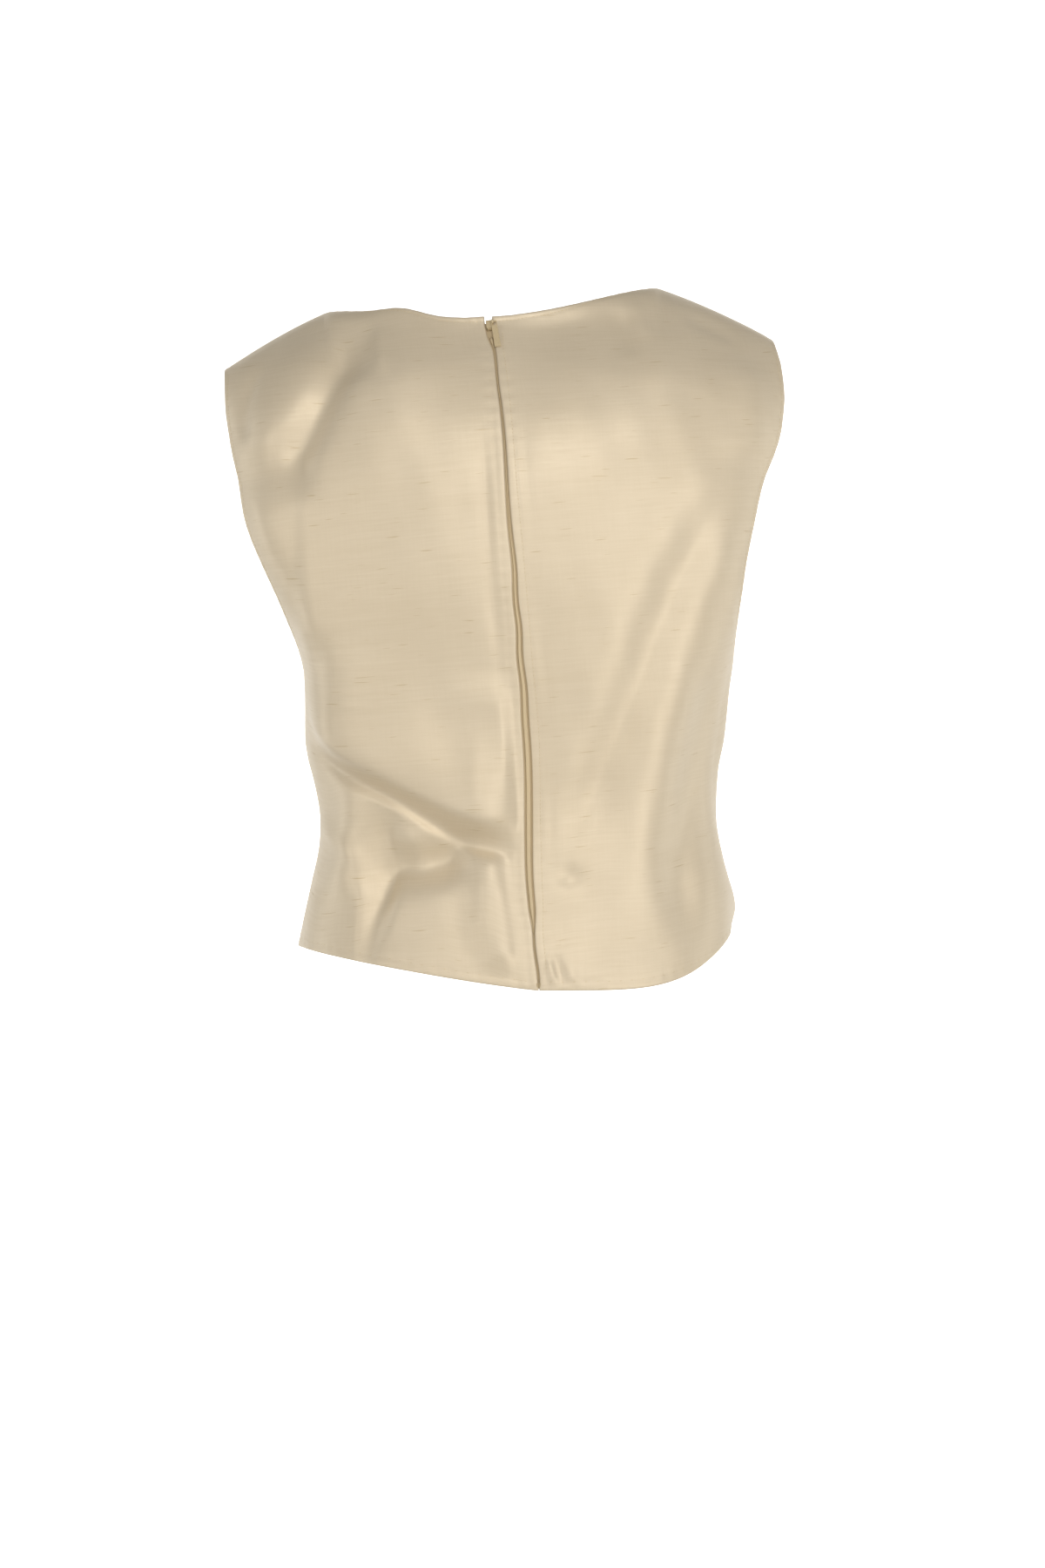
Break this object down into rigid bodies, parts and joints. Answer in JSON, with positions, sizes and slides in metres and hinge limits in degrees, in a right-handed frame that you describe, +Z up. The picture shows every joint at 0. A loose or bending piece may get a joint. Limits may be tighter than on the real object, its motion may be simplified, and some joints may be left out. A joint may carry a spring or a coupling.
{
  "type": "sleeveless silk top",
  "caption": "Sleeveless boat-neck shell top of woven silk, worn, with extended shoulders, deep armholes and a centre-back zip whose pull tab swings.",
  "frame": {"origin": "midway between the neck ends of the two shoulder seams, where the wearer's shoulders hold the top", "axes": "+X towards the wearer's left, +Y towards the wearer's back, +Z up"},
  "size_m": [0.3909, 0.2299, 0.4868],
  "materials": {
    "silk": "slubbed plain weave with a soft sheen",
    "zip_tape": "matt woven tape",
    "zip_metal": "satin paint"
  },
  "bodies": {
    "top": {"back_left": "silk", "back_right": "silk", "front": "silk", "zip_tape": "zip_tape", "zip_slider": "zip_metal"},
    "pull": {"zip_pull": "zip_metal"}
  },
  "joints": [
    {"name": "pull_swing", "type": "hinge", "parent": "top", "child": "pull", "pos_m": [-0.00063, 0.06175, -0.02069], "axis": [0.9891, 0.0671, -0.1312], "range_deg": [0, 150]}
  ]
}
